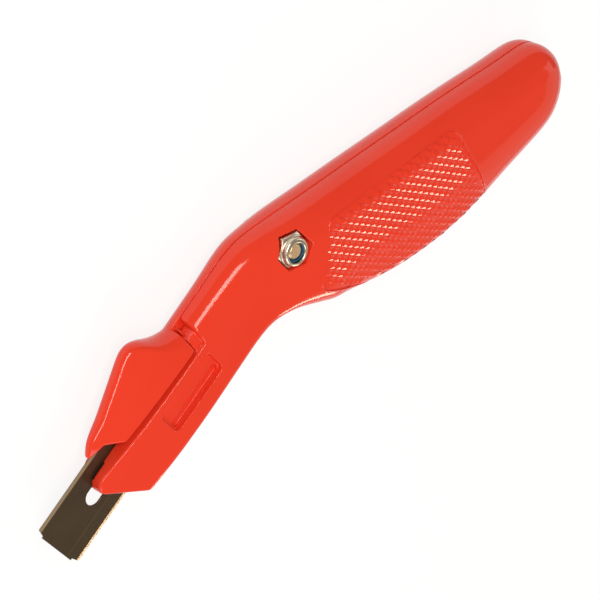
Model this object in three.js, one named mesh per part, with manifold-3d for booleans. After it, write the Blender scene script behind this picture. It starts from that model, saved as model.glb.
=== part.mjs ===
// A carpet knife with a swing-open body. Two die-cast halves turn on one bolt: the left half
// carries the blade, the nose over it and the spare blades, and the right half closes over them.
import * as THREE from 'three';
import { mergeVertices } from 'three/addons/utils/BufferGeometryUtils.js';
import Module from 'manifold-3d';

// Driving dimensions, in millimetres and degrees. The pivot axis is x = 0, y = 0 and the halves
// part at z = 0. X runs back to the tail, Y to the thumb side and Z to the nut side.

// Blade: the standard slotted carpet blade, ground on both long edges
const bladeLength = 57.15;
const bladeWidth = 19.05;
const bladeThickness = 0.64;
const bladeGrind = 1;
const bladeEdge = 0.12;
const slotMargin = 14.75;
const slotWidth = 5.3;
const tabLength = 1.2;
const tabShoulder = 2.8;
const bladeReachOut = 18.9;
const bladeRise = 0.5;
const spareCount = 5;

// Jaw and nose
const shoulderRadius = 36;
const notchWidth = 3.4;
const jawLength = 49;
const jawFloor = 3.2;
const jawHalf = 7;
const jawTipHalf = 4;
const jawLowerRound = 1.8;
const lipTop = 5.3;
const lipGap = 1.3;
const lipFrontSlope = 9.6;
const lipFrontRise = 13.9;
const lipBrow = 3.6;
const noseTipBack = 5.4;
const noseCrest = 22.7;
const noseRidgeRound = 2.4;
const noseChinRun = 4.2;
const noseInset = 0.6;
const tongueInset = 1.2;
const lugRise = 2.5;
const lugDepth = 2.6;

// Neck and handle
const neckTop = 12.25;
const neckHalf = 7.3;
const gripAngle = 25.7;
const gripTop = 7.9;
const gripHalf = 11.1;
const gripCrownFlat = 1.7;
const gripArch = 0.25;
const gripLowerRound = 18;
const bellyDrop = 30;
const tailPlace = 100.4;
const tailRadius = 12.85;
const tailReach = 12.2;
const tailLift = 3;
const tailSweep = 16.5;
const tailDepth = 17.2;
const wall = 2.4;
const panelStart = 13.7;
const panelEnd = 66;
const panelDrop = 5.6;
const panelRake = 8.5;
const panelFoot = 17;
const diamondLength = 11.4;
const diamondWidth = 8.1;
const grooveWidth = 2;
const grooveDepth = 0.45;
const diamondPlace = 22.5;
const diamondDrop = 11.5;
const pocketLength = 22;
const pocketWidth = 8.5;
const pocketDepth = 1.2;
const pocketRound = 1.6;
const pocketChannel = 2.8;
const pocketChannelDepth = 2.4;
const pocketPlace = 48;
const pocketDrop = 1.35;

// Pivot: a machine screw, a lock nut with a nylon ring, and two washers
const boltDiameter = 4.83;
const boltHeadDiameter = 9.4;
const boltHeadHeight = 3;
const boltHeadSink = 0.4;
const boltEndSink = 0.7;
const driveWidth = 1.2;
const driveDepth = 1.4;
const nutFlats = 9.525;
const nutHeight = 6.3;
const nutHexHeight = 4.6;
const nutSink = 0.3;
const nutCollarWall = 1;
const insertHeight = 1.1;
const insertWall = 0.5;
const thrustDiameter = 14;
const thrustThickness = 0.8;
const springSetBack = 0.2;
const springThickness = 0.5;
const springRise = 1;
const bossDiameter = 19;

// Blade seats and the spare-blade bay
const postRise = 0.75;
const postSetBack = 4.65;
const bayPlace = 48;
const bayDrop = 10.2;
const bayFloor = 5.3;
const ribThickness = 2.4;

// Clearances
const partingGap = 0.3;
const seatFit = 0.1;
const slideFit = 0.3;
const turnFit = 0.2;

// How finely the curved skin is cut into flat faces
const stepsPerSpan = 2;
const cornerSteps = 6;
const smallestSides = 24;

// Sizes that follow from the ones above
const face = partingGap / 2;
const beyond = 60;
const lipFront = -(shoulderRadius + jawLength);
const bladeTip = lipFront - bladeReachOut;
const bladeRear = bladeTip + bladeLength;
const bladeLow = bladeRise - bladeWidth / 2;
const bladeHigh = bladeRise + bladeWidth / 2;
const slotRear = bladeRear - slotMargin;
const slotLength = bladeLength - 2 * slotMargin;
const jawBottom = bladeLow - jawFloor;
const noseRadius = shoulderRadius + notchWidth;
const noseTip = lipFront + noseTipBack;
const noseBottom = lipTop + lipGap;
const chinHeight = bladeHigh + slideFit;
const seatDepth = bladeThickness / 2 + seatFit;
const tailMiddle = gripTop - gripArch - tailRadius;
const gripUpperRound = gripHalf - gripCrownFlat;
const postRadius = slotWidth / 2 - slideFit;
const sparePitch = bladeThickness + seatFit;
const radians = Math.PI / 180;

const wasm = await Module();
wasm.setup();

// Boolean helpers
function solid(geometry) {
  const bare = geometry.clone();
  for (const name of ['normal', 'uv']) {
    bare.deleteAttribute(name);
  }
  const merged = mergeVertices(bare, 1e-4);
  return new wasm.Manifold(new wasm.Mesh({
    numProp: 3,
    vertProperties: new Float32Array(merged.attributes.position.array),
    triVerts: new Uint32Array(merged.index.array),
  }));
}

function piece(name, body, material) {
  const cut = body.getMesh();
  const geometry = new THREE.BufferGeometry();
  geometry.setAttribute('position', new THREE.BufferAttribute(new Float32Array(cut.vertProperties), 3));
  geometry.setIndex(new THREE.BufferAttribute(new Uint32Array(cut.triVerts), 1));
  geometry.computeVertexNormals();
  const mesh = new THREE.Mesh(geometry, material);
  mesh.name = name;
  return mesh;
}

function prism(shape, low, high) {
  const options = { depth: high - low, bevelEnabled: false, curveSegments: smallestSides / 2 };
  return solid(new THREE.ExtrudeGeometry(shape, options).translate(0, 0, low));
}

function outline(points) {
  return new THREE.Shape(points.map(([x, y]) => new THREE.Vector2(x, y)));
}

function block(x0, x1, y0, y1, z0, z1) {
  const box = new THREE.BoxGeometry(x1 - x0, y1 - y0, z1 - z0);
  return solid(box.translate((x0 + x1) / 2, (y0 + y1) / 2, (z0 + z1) / 2));
}

// A larger circle gets more sides, so that rings about the pivot clear each other as they turn
function sides(radius) {
  return smallestSides + 8 * Math.floor(radius / 4);
}

// A turned piece about the pivot axis, from a closed profile of [radius, height] points
function turned(profile) {
  const closed = [...profile, profile[0]].map(([r, z]) => new THREE.Vector2(r, z));
  return solid(new THREE.LatheGeometry(closed, smallestSides).rotateX(Math.PI / 2));
}

function rod(radius, low, high, x = 0, y = 0) {
  const bar = new THREE.CylinderGeometry(radius, radius, high - low, sides(radius));
  return solid(bar.rotateX(Math.PI / 2).translate(x, y, (low + high) / 2));
}

function hexagon(flats, low, high) {
  const corner = flats / Math.sqrt(3);
  const corners = [...Array(6).keys()].map((k) => {
    const turn = (k * 60 + 30) * radians;
    return [corner * Math.cos(turn), corner * Math.sin(turn)];
  });
  return prism(outline(corners), low, high);
}

function ringSector(inner, outer, fromAngle, toAngle, low, high) {
  const shape = new THREE.Shape();
  shape.absarc(0, 0, outer, fromAngle, toAngle, false);
  shape.absarc(0, 0, inner, toAngle, fromAngle, true);
  return prism(shape, low, high);
}

function roundedBox(length, width, round, x, y, low, high) {
  const shape = new THREE.Shape();
  const [l, w] = [length / 2 - round, width / 2 - round];
  shape.absarc(x + l, y + w, round, 0, Math.PI / 2, false);
  shape.absarc(x - l, y + w, round, Math.PI / 2, Math.PI, false);
  shape.absarc(x - l, y - w, round, Math.PI, 1.5 * Math.PI, false);
  shape.absarc(x + l, y - w, round, 1.5 * Math.PI, 2 * Math.PI, false);
  return prism(shape, low, high);
}

// Joins rings of points into one closed skin, with a fan over each end
function loft(rings) {
  const count = rings[0].length;
  const points = rings.flat();
  const faces = [];
  for (let r = 0; r + 1 < rings.length; r += 1) {
    for (let k = 0; k < count; k += 1) {
      const [a, b] = [r * count + k, r * count + (k + 1) % count];
      faces.push(a, b, b + count, a, b + count, a + count);
    }
  }
  for (const [ring, turn] of [[0, 1], [rings.length - 1, -1]]) {
    const middle = new THREE.Vector3();
    rings[ring].forEach((point) => middle.addScaledVector(point, 1 / count));
    points.push(middle);
    for (let k = 0; k < count; k += 1) {
      const [a, b] = [ring * count + k, ring * count + (k + 1) % count];
      faces.push(...(turn > 0 ? [points.length - 1, b, a] : [points.length - 1, a, b]));
    }
  }
  let volume = 0;
  for (let f = 0; f < faces.length; f += 3) {
    const [a, b, c] = [points[faces[f]], points[faces[f + 1]], points[faces[f + 2]]];
    volume += a.dot(new THREE.Vector3().crossVectors(b, c));
  }
  if (volume < 0) {
    faces.reverse();
  }
  const geometry = new THREE.BufferGeometry().setFromPoints(points);
  geometry.setIndex(faces);
  return solid(geometry);
}

// A point of the handle, from its distance behind the pivot and its height over the handle's axis
function grip(along, height) {
  const [c, s] = [Math.cos(gripAngle * radians), Math.sin(gripAngle * radians)];
  return [along * c + height * s, height * c - along * s];
}

// The tail's outline: a quarter circle over a larger quarter ellipse, meeting above the middle
function tailEdge(along, sign, inset) {
  const [run, rise] = sign > 0 ? [tailRadius - tailLift, tailRadius - tailLift] : [tailSweep, tailDepth];
  const past = Math.max(0, along - (tailPlace + tailReach - run)) / (run - inset);
  return tailMiddle + tailLift + sign * (rise - inset) * Math.sqrt(1 - past ** 2);
}

// The body's skin: top and bottom rails, half thickness, and the rounding at each rail
const jawStation = (share, widening) => [
  [lipFront + jawLength * share, neckTop], [lipFront + jawLength * share, jawBottom],
  jawTipHalf + (jawHalf - jawTipHalf) * widening, neckTop - lipTop, jawLowerRound,
];
const gripStation = (share, arch, rise, lower = gripLowerRound) => [
  grip(tailPlace * share, gripTop + gripArch * arch), grip(tailPlace * share, rise - bellyDrop),
  gripHalf, gripUpperRound, lower,
];
const stations = [
  jawStation(-1 / 12, 0),
  jawStation(1 / 6, 0.4),
  jawStation(1 / 3, 0.72),
  jawStation(1 / 2, 0.92),
  jawStation(3 / 4, 1),
  [[-shoulderRadius, neckTop + 0.2], [-shoulderRadius, jawBottom], jawHalf, neckTop - lipTop, 2.2],
  [[-22, neckTop + 0.3], [-22, jawBottom], neckHalf, neckHalf - 0.2, 3],
  [[-15, neckTop + 0.4], [-16.5, jawBottom - 1.1], neckHalf + 0.7, neckHalf + 0.2, 3.6],
  [[-9, neckTop - 0.2], [-11.5, jawBottom - 4], neckHalf + 1.6, neckHalf + 1, 4.6],
  [[-3.5, neckTop - 2], [-7.5, jawBottom - 7.8], neckHalf + 2.5, neckHalf + 1.7, 6],
  [grip(5, gripTop), [-1.5, jawBottom - 14.7], gripHalf, gripUpperRound - 0.4,
    gripLowerRound / 3],
  gripStation(0.16, 0, 3.9, gripLowerRound * 0.6),
  gripStation(0.32, 0.6, 0.85),
  gripStation(0.5, 0.8, 0),
  gripStation(0.66, 1.2, 1.7),
  gripStation(0.82, 0.2, 6.5),
  gripStation(0.935, -1, tailEdge(0, -1, 0) + bellyDrop - 0.1),
  gripStation(1, -1, tailEdge(tailPlace, -1, 0) + bellyDrop),
];
const neckStation = 5;
const lastStation = stations.length - 1;
const topRail = new THREE.CatmullRomCurve3(stations.map(([top]) => new THREE.Vector3(...top, 0)));
const bottomRail = new THREE.CatmullRomCurve3(stations.map(([, low]) => new THREE.Vector3(...low, 0)));
const form = new THREE.CatmullRomCurve3(stations.map(([, , ...sizes]) => new THREE.Vector3(...sizes)));

function sectionAt(place) {
  const t = place / lastStation;
  const sizes = form.getPoint(t);
  return {
    top: topRail.getPoint(t), bottom: bottomRail.getPoint(t),
    half: Math.min(sizes.x, gripHalf), upper: sizes.y, lower: sizes.z,
  };
}

// The tail rounds over to the sides like the rest of the handle
function tailSection(turn, inset) {
  const along = tailPlace + (tailReach - inset) * Math.sin(turn);
  const round = gripUpperRound - inset;
  const left = Math.min(round, tailPlace + tailReach - inset - along);
  const half = gripHalf - gripUpperRound + Math.sqrt(round ** 2 - (round - left) ** 2) + inset;
  return {
    top: new THREE.Vector3(...grip(along, tailEdge(along, 1, inset) + inset), 0),
    bottom: new THREE.Vector3(...grip(along, tailEdge(along, -1, inset) - inset), 0),
    half, upper: gripUpperRound, lower: gripLowerRound,
  };
}

function skinRing(section, inset) {
  const across = section.bottom.clone().sub(section.top);
  const depth = across.length() - 2 * inset;
  across.normalize();
  const half = section.half - inset;
  const [upper, lower] = [section.upper - inset, section.lower - inset].map((r) => Math.max(r, 0.4));
  const squeeze = Math.min(1, 0.98 * depth / (upper + lower));
  const side = [];
  for (const [round, atTop] of [[upper * squeeze, true], [lower * squeeze, false]]) {
    const thick = Math.min(round / squeeze, half * 0.96);
    for (let k = 0; k <= cornerSteps; k += 1) {
      const turn = (atTop ? k : cornerSteps - k) / cornerSteps * Math.PI / 2;
      const drop = round * (1 - Math.cos(turn));
      side.push([atTop ? drop : depth - drop, half - thick + thick * Math.sin(turn)]);
    }
  }
  const place = ([w, z]) => section.top.clone().addScaledVector(across, w + inset).setZ(z);
  const mirrored = side.map(([w, z]) => [w, -z]).reverse();
  return [...side, ...mirrored].map(place);
}

function skin(fromPlace, inset) {
  const rings = [];
  const spans = Math.round((lastStation - fromPlace) * stepsPerSpan);
  for (let k = 0; k <= spans; k += 1) {
    rings.push(skinRing(sectionAt(fromPlace + k / stepsPerSpan), inset));
  }
  for (const turn of [15, 32, 48, 62, 74, 84]) {
    rings.push(skinRing(tailSection(turn * radians, inset), inset));
  }
  return loft(rings);
}

// The nose: a rounded ridge that rises to a thumb stop and runs down into the neck. Each row is
// the share of its length from tip to rear, the ridge's height and round, and its half thickness.
const noseStart = chinHeight + 0.6;
const noseRows = [
  [0, noseStart, 0.8, 0.9],
  [0.035, noseStart + 1.6, 1.2, 2],
  [0.084, noseStart + 2.9, 1.7, 3.1],
  [0.146, noseStart + 3.8, 2, 4.1],
  [0.244, noseStart + (noseCrest - noseStart) * 0.41, noseRidgeRound, jawHalf - noseInset - 1.2],
  [0.442, noseStart + (noseCrest - noseStart) * 0.68, noseRidgeRound, jawHalf - noseInset - 0.5],
  [0.64, noseStart + (noseCrest - noseStart) * 0.95, noseRidgeRound, jawHalf - noseInset],
  [0.7, noseCrest, noseRidgeRound + 0.2, jawHalf - noseInset + 0.1],
  [0.763, noseCrest - 0.45, noseRidgeRound + 0.7, jawHalf - noseInset + 0.2],
  [0.825, noseCrest - 2.5, noseRidgeRound + 1.9, jawHalf - noseInset + 0.3],
  [0.886, neckTop + 4.6, jawHalf - 1.6, jawHalf - 0.25],
  [0.948, neckTop + 2.1, jawHalf - 0.8, jawHalf - 0.2],
  [1, neckTop + 0.9, jawHalf - 0.5, jawHalf - 0.15],
  [1.07, neckTop - 0.8, jawHalf - 1.2, jawHalf - 0.8],
];
const noseCurve = new THREE.CatmullRomCurve3(noseRows.map(([, ...sizes]) => new THREE.Vector3(...sizes)));
const nosePlace = new THREE.CatmullRomCurve3(noseRows.map(([share]) => new THREE.Vector3(share, 0, 0)));

function noseRing(x, ridge, round, half) {
  const middle = ridge - round;
  const reach = Math.hypot(half, noseBottom - middle);
  const start = Math.atan2(noseBottom - middle, half) + Math.acos(Math.min(1, round / reach));
  const side = [[half, noseBottom - lipGap * 2]];
  side.push([half, Math.min(noseBottom, middle)]);
  for (let k = 0; k <= cornerSteps; k += 1) {
    const turn = start + (Math.PI / 2 - start) * k / cornerSteps;
    side.push([round * Math.cos(turn), middle + round * Math.sin(turn)]);
  }
  const mirrored = side.slice(0, -1).map(([z, y]) => [-z, y]).reverse();
  return [...side, ...mirrored].map(([z, y]) => new THREE.Vector3(x, y, z));
}

function noseSkin() {
  const rings = [];
  const steps = (noseRows.length - 1) * 2;
  for (let k = 0; k <= steps; k += 1) {
    const sizes = noseCurve.getPoint(k / steps);
    const x = noseTip + (-noseRadius - noseTip) * nosePlace.getPoint(k / steps).x;
    rings.push(noseRing(x, sizes.x, sizes.y, sizes.z));
  }
  return loft(rings);
}

// The grip panel on each side of the handle, as an outline seen from the side
function panelShape() {
  const shape = new THREE.Shape();
  const rim = gripTop - panelDrop;
  shape.moveTo(...grip(panelStart, rim));
  shape.lineTo(...grip(panelEnd - 4.5, rim + 1.2));
  shape.quadraticCurveTo(...grip(panelEnd - 2, rim + 1.2), ...grip(panelEnd - 1.4, rim - 1));
  shape.lineTo(...grip(panelEnd + panelRake, -bellyDrop));
  shape.lineTo(...grip(panelStart + 2 * panelRake, -bellyDrop));
  shape.lineTo(...grip(panelStart - panelRake, -panelFoot));
  return shape;
}

const lowerHalfSpace = block(-2 * beyond, 3 * beyond, -2 * beyond, beyond, -beyond, -face);
const upperHalfSpace = block(-2 * beyond, 3 * beyond, -2 * beyond, beyond, face, beyond);

// Cuts the jaw to its side outline: a raked front, a rounded brow and a flat top
function jawFrontCut() {
  const shape = outline([
    [lipFront - beyond, beyond], [lipFront - beyond, -beyond],
    [lipFront + lipFrontSlope * 2, jawBottom - lipFrontRise],
    [lipFront + lipFrontSlope, jawBottom], [lipFront, jawBottom + lipFrontRise],
  ]);
  shape.quadraticCurveTo(lipFront + 0.3, lipTop - 0.3, lipFront + lipBrow, lipTop);
  shape.lineTo(lipFront + lipBrow, beyond);
  return prism(shape, -beyond, beyond);
}

// One straight V-groove across a grip panel, at a distance from a diamond's middle
function groove(offset, direction, sign) {
  const section = outline([[0, 0], [grooveWidth, 2 * grooveDepth], [-grooveWidth, 2 * grooveDepth]]);
  const bar = new THREE.ExtrudeGeometry(section, { depth: 4 * panelEnd, bevelEnabled: false });
  bar.translate(offset, 0, -2 * panelEnd).rotateX(sign * Math.PI / 2).rotateZ(direction - Math.PI / 2);
  const [x, y] = grip(diamondPlace, -diamondDrop);
  return solid(bar.translate(x, y, sign * (gripHalf - grooveDepth)));
}

// Checkering: two sets of crossing grooves leave diamonds that lie along the handle. The grooves
// are level, so they run out where the belly rounds away.
function checkering(sign) {
  const slant = Math.atan2(diamondWidth, diamondLength);
  const spacing = diamondLength * Math.sin(slant);
  const reach = Math.ceil(panelEnd / spacing);
  const grooves = [];
  for (const side of [1, -1]) {
    for (let k = -reach; k < reach; k += 1) {
      grooves.push(groove((k + 0.5) * spacing, side * slant - gripAngle * radians, sign));
    }
  }
  const panel = prism(panelShape(), ...(sign > 0 ? [0, beyond] : [-beyond, 0]));
  return grooves.reduce((all, next) => all.add(next)).intersect(panel);
}

// What both halves share: the skin with its checkered grip panels, the hollow and the pivot boss
function outerBody() {
  return skin(0, 0).subtract(jawFrontCut()).subtract(checkering(1)).subtract(checkering(-1));
}

function hollowBody() {
  const boss = rod(bossDiameter / 2, -beyond, beyond).intersect(outer);
  return outer.subtract(skin(neckStation + 0.5, wall)).add(boss);
}

// A stepped pocket in each side of the jaw: a shallow floor with a deeper channel along its low edge
function jawPocket(sign) {
  const [x, y] = [-pocketPlace, -pocketDrop];
  const channelLength = pocketLength - pocketRound;
  const channelY = y - pocketWidth / 2 + pocketChannel / 2;
  const cut = (depth) => [jawHalf - depth, beyond].map((z) => sign * z).sort((a, b) => a - b);
  const floor = roundedBox(pocketLength, pocketWidth, pocketRound, x, y, ...cut(pocketDepth));
  const channel = roundedBox(channelLength, pocketChannel, pocketChannel * 0.45, x, channelY,
    ...cut(pocketChannelDepth));
  return floor.add(channel);
}

const outer = outerBody();
const shared = hollowBody();
const hollowRight = shared.intersect(upperHalfSpace);
const hollowLeft = shared.intersect(lowerHalfSpace);

// Heights along the pivot
const nutTop = gripHalf - nutSink;
const nutLow = nutTop - nutHeight;
const headTop = -(gripHalf - boltHeadSink);
const headUnder = headTop + boltHeadHeight;
const springLow = headUnder + seatFit;
const boltSeat = springLow + springRise + seatFit;
const boltEnd = nutTop - boltEndSink;
const boreRadius = boltDiameter / 2 + slideFit;
const thrustSeat = thrustThickness / 2 + seatFit;

const postPlaces = [slotRear - slotWidth / 2 - turnFit, lipFront + postSetBack];

function rightShell() {
  // The jaw's upper part belongs to the nose, so it is cleared ahead of the shoulder
  const ahead = block(-2 * beyond, -1, lipTop, beyond, -beyond, beyond);
  const upperJaw = ahead.subtract(rod(shoulderRadius, -beyond, beyond));
  const tongueRing = rod(noseRadius - slideFit, face, beyond).subtract(rod(shoulderRadius - 2, 0, beyond));
  const tongue = skin(neckStation - 1, tongueInset).intersect(tongueRing)
    .intersect(block(-beyond, -1, lipTop - 1, neckTop - lugRise - slideFit, face, beyond));
  let shell = hollowRight.subtract(upperJaw).add(tongue);
  // Room for the blade, open upwards along the path that the swing takes
  const bladeRoom = block(-3 * beyond, -1, bladeLow - slideFit, beyond, 0, seatDepth)
    .subtract(rod(-bladeRear - slideFit, -1, seatDepth + 1));
  shell = shell.subtract(bladeRoom);
  for (const place of postPlaces) {
    const side = postRadius + slideFit;
    const groove = ringSector(-place - side, -place + side, Math.PI * 0.9, Math.PI + side / -place,
      0, postRise + slideFit);
    shell = shell.subtract(groove);
  }
  return shell
    .subtract(hexagon(nutFlats + 2 * slideFit, nutLow - seatFit, beyond))
    .subtract(rod(boreRadius, -1, beyond))
    .subtract(rod(thrustDiameter / 2 + slideFit, 0, thrustSeat))
    .subtract(jawPocket(1));
}

function leftShell() {
  // The nose bridges the parting plane ahead of the notch and above the lip
  const rim = noseSkin();
  const chin = prism(outline([
    [0, noseBottom], [noseTip + noseTipBack + noseChinRun, noseBottom],
    [noseTip + noseTipBack, chinHeight], [noseTip - beyond, chinHeight],
    [noseTip - beyond, -beyond], [0, -beyond],
  ]), -face, beyond);
  const notch = rod(noseRadius, -face, beyond);
  const nose = rim.subtract(chin).subtract(notch);
  const lug = rim.intersect(rod(noseRadius - slideFit * 2, -face - 1, lugDepth))
    .subtract(rod(shoulderRadius + slideFit * 2, -beyond, beyond))
    .intersect(block(-beyond, 0, neckTop - lugRise, beyond, -beyond, lugDepth));
  const brow = block(-3 * beyond, -noseRadius - 6, noseBottom - lipGap / 2, beyond, -beyond, beyond);
  let shell = hollowLeft.subtract(brow).add(nose).add(lug);
  const slit = block(-3 * beyond, bladeRear + slideFit, bladeLow - slideFit, bladeHigh + slideFit,
    -seatDepth, seatDepth);
  shell = shell.subtract(slit);
  for (const place of postPlaces) {
    shell = shell.add(rod(postRadius, -seatDepth - 1, postRise, place, bladeRise));
  }
  // Two ribs in the handle carry the spare blades on their posts
  for (const side of [-1, 1]) {
    const along = bayPlace + side * (slotLength - slotWidth) / 2 - side * turnFit;
    const rib = outline([
      grip(along - ribThickness / 2, beyond), grip(along - ribThickness / 2, -beyond),
      grip(along + ribThickness / 2, -beyond), grip(along + ribThickness / 2, beyond),
    ]);
    shell = shell.add(prism(rib, -beyond, -bayFloor).intersect(outer));
    const [x, y] = grip(along, -bayDrop);
    shell = shell.add(rod(postRadius, -bayFloor - 1, -bayFloor + spareCount * sparePitch + 0.4, x, y));
  }
  return shell
    .subtract(rod(boltHeadDiameter / 2 + slideFit * 2, -beyond, boltSeat))
    .subtract(rod(boreRadius, -beyond, 1))
    .subtract(rod(thrustDiameter / 2 + slideFit, -thrustSeat, 0))
    .subtract(jawPocket(-1));
}

function bladeSolid() {
  const [front, rear] = [-bladeLength / 2, bladeLength / 2];
  const [half, tab] = [bladeWidth / 2, bladeWidth / 2 - tabShoulder];
  const shape = outline([
    [front + tabLength, -half], [rear - tabLength, -half], [rear - tabLength / 2, -tab], [rear, -tab],
    [rear, tab], [rear - tabLength / 2, tab], [rear - tabLength, half], [front + tabLength, half],
    [front + tabLength / 2, tab], [front, tab], [front, -tab], [front + tabLength / 2, -tab],
  ]);
  const slot = new THREE.Path();
  const reach = (slotLength - slotWidth) / 2;
  slot.absarc(reach, 0, slotWidth / 2, -Math.PI / 2, Math.PI / 2, false);
  slot.absarc(-reach, 0, slotWidth / 2, Math.PI / 2, 1.5 * Math.PI, false);
  shape.holes.push(slot);
  const [t, e] = [bladeThickness / 2, bladeEdge / 2];
  const ground = outline([
    [-half, -e], [-half + bladeGrind, -t], [half - bladeGrind, -t], [half, -e],
    [half, e], [half - bladeGrind, t], [-half + bladeGrind, t], [-half, e],
  ]);
  const bar = new THREE.ExtrudeGeometry(ground, { depth: bladeLength + 2, bevelEnabled: false });
  bar.translate(0, 0, -bladeLength / 2 - 1).rotateX(Math.PI / 2).rotateZ(Math.PI / 2);
  return prism(shape, -bladeThickness, bladeThickness).intersect(solid(bar));
}

function pivotBolt() {
  const [shank, head] = [boltDiameter / 2, boltHeadDiameter / 2];
  const bevel = shank * 0.25;
  const turnedBolt = turned([
    [0, headTop], [head * 0.62, headTop], [head * 0.88, headTop + boltHeadHeight * 0.2],
    [head, headTop + boltHeadHeight * 0.55], [head, headUnder], [shank, headUnder],
    [shank, boltEnd - bevel], [shank - bevel, boltEnd], [0, boltEnd],
  ]);
  const long = head * 0.62;
  const [low, high] = [headTop - 1, headTop + driveDepth];
  return turnedBolt
    .subtract(block(-long, long, -driveWidth / 2, driveWidth / 2, low, high))
    .subtract(block(-driveWidth / 2, driveWidth / 2, -long, long, low, high));
}

const insertInner = boltDiameter / 2 + turnFit;
const insertOuter = insertInner + insertWall;
const nutMouth = insertOuter + seatFit;
const insertLow = nutTop - boltEndSink - insertHeight;

function lockNut() {
  const collar = nutMouth + nutCollarWall;
  const hexTop = nutLow + nutHexHeight;
  const corner = nutFlats / Math.sqrt(3);
  const chamfer = turned([
    [0, nutLow], [nutFlats / 2, nutLow], [corner, nutLow + 0.6], [corner, hexTop - 0.6],
    [nutFlats / 2, hexTop], [0, hexTop],
  ]);
  const top = turned([
    [0, hexTop - 1], [collar, hexTop - 1], [collar, nutTop - 0.8], [collar - 0.35, nutTop - 0.15],
    [collar - 0.8, nutTop], [0, nutTop],
  ]);
  return hexagon(nutFlats, nutLow, hexTop).intersect(chamfer).add(top)
    .subtract(rod(boltDiameter / 2 + turnFit, nutLow - 1, nutTop + 1))
    .subtract(rod(nutMouth, insertLow - seatFit, nutTop + 1));
}

function nutInsert() {
  const edge = insertHeight * 0.25;
  const high = insertLow + insertHeight;
  return turned([
    [insertInner, insertLow], [insertOuter, insertLow], [insertOuter, high - edge],
    [insertOuter - edge, high], [insertInner + edge, high], [insertInner, high - edge],
  ]);
}

function thrustWasher() {
  const [inner, rim] = [boreRadius, thrustDiameter / 2];
  const half = thrustThickness / 2;
  return turned([[inner, -half], [rim, -half], [rim, half], [inner, half]]);
}

function springWasher() {
  const [inner, rim] = [boreRadius, boltHeadDiameter / 2 - springSetBack];
  const cone = springRise - springThickness;
  return turned([
    [inner, springLow], [rim, springLow + cone], [rim, springLow + springRise],
    [inner, springLow + springThickness],
  ]);
}

function finish(color, roughness, metalness) {
  return new THREE.MeshStandardMaterial({ color, roughness, metalness });
}

const redPaint = finish(0xe23a24, 0.3, 0);
const darkSteel = finish(0x4a3d31, 0.45, 0.8);
const brightSteel = finish(0xc4c0b8, 0.3, 1);
const blueNylon = finish(0x1f5f96, 0.5, 0);
const springSteel = finish(0x8a8a88, 0.4, 1);

// The assembly, built about the pivot and then set down with its origin under its middle
const knife = new THREE.Group();
const assembly = new THREE.Group();
assembly.add(
  piece('right_shell', rightShell(), redPaint),
  piece('left_shell', leftShell(), redPaint.clone()),
  piece('pivot_bolt', pivotBolt(), brightSteel),
  piece('lock_nut', lockNut(), brightSteel.clone()),
  piece('lock_nut_insert', nutInsert(), blueNylon),
  piece('thrust_washer', thrustWasher(), springSteel),
  piece('spring_washer', springWasher(), springSteel.clone()),
);

const blade = piece('blade', bladeSolid(), darkSteel);
blade.position.set((bladeTip + bladeRear) / 2, bladeRise, 0);
assembly.add(blade);
for (let k = 0; k < spareCount; k += 1) {
  const spare = piece(`spare_blade_${k + 1}`, bladeSolid(), darkSteel.clone());
  const [x, y] = grip(bayPlace, -bayDrop);
  spare.position.set(x, y, -bayFloor + seatFit + bladeThickness / 2 + k * sparePitch);
  spare.rotation.z = -gripAngle * radians;
  assembly.add(spare);
}

const bounds = new THREE.Box3().setFromObject(assembly);
const middle = bounds.getCenter(new THREE.Vector3());
assembly.position.set(-middle.x, -middle.y, -bounds.min.z);
knife.add(assembly);

export default knife;
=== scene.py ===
"""A swing-open carpet knife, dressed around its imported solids: two enamelled die castings on one
bolt, a slotted blade under the nose, spare blades in the handle and a lock nut with a nylon ring."""
import math

import bmesh
import bpy
import numpy as np
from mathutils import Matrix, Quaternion, Vector


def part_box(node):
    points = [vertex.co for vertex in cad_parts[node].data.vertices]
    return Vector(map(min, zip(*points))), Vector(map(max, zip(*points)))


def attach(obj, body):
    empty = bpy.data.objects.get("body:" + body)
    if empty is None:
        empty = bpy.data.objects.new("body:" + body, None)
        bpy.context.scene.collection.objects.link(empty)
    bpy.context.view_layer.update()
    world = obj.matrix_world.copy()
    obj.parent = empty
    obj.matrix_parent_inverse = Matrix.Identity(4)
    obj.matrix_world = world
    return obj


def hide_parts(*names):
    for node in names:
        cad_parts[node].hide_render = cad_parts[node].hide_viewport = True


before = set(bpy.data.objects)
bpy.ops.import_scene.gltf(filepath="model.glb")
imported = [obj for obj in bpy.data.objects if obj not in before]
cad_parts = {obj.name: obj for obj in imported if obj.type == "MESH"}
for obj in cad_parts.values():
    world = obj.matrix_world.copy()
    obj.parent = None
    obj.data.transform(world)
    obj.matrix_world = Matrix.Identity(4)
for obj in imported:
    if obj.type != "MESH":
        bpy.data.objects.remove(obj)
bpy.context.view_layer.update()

# Camera: a long lens over the thumb side, looking down on the nut side of the knife as it lies on
# its flat far side. The frame is square.
scene = bpy.context.scene
scene.view_settings.view_transform = "Standard"
long_lens = bpy.data.cameras.new("camera")
long_lens.sensor_width = 36.0
long_lens.lens = 156.0
camera = bpy.data.objects.new("camera", long_lens)
camera.location = (-0.138987, 0.519646, 0.514781)
camera.rotation_euler = [math.radians(angle) for angle in (-24.0991, -41.6661, -41.6966)]
scene.collection.objects.link(camera)
scene.camera = camera

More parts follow.
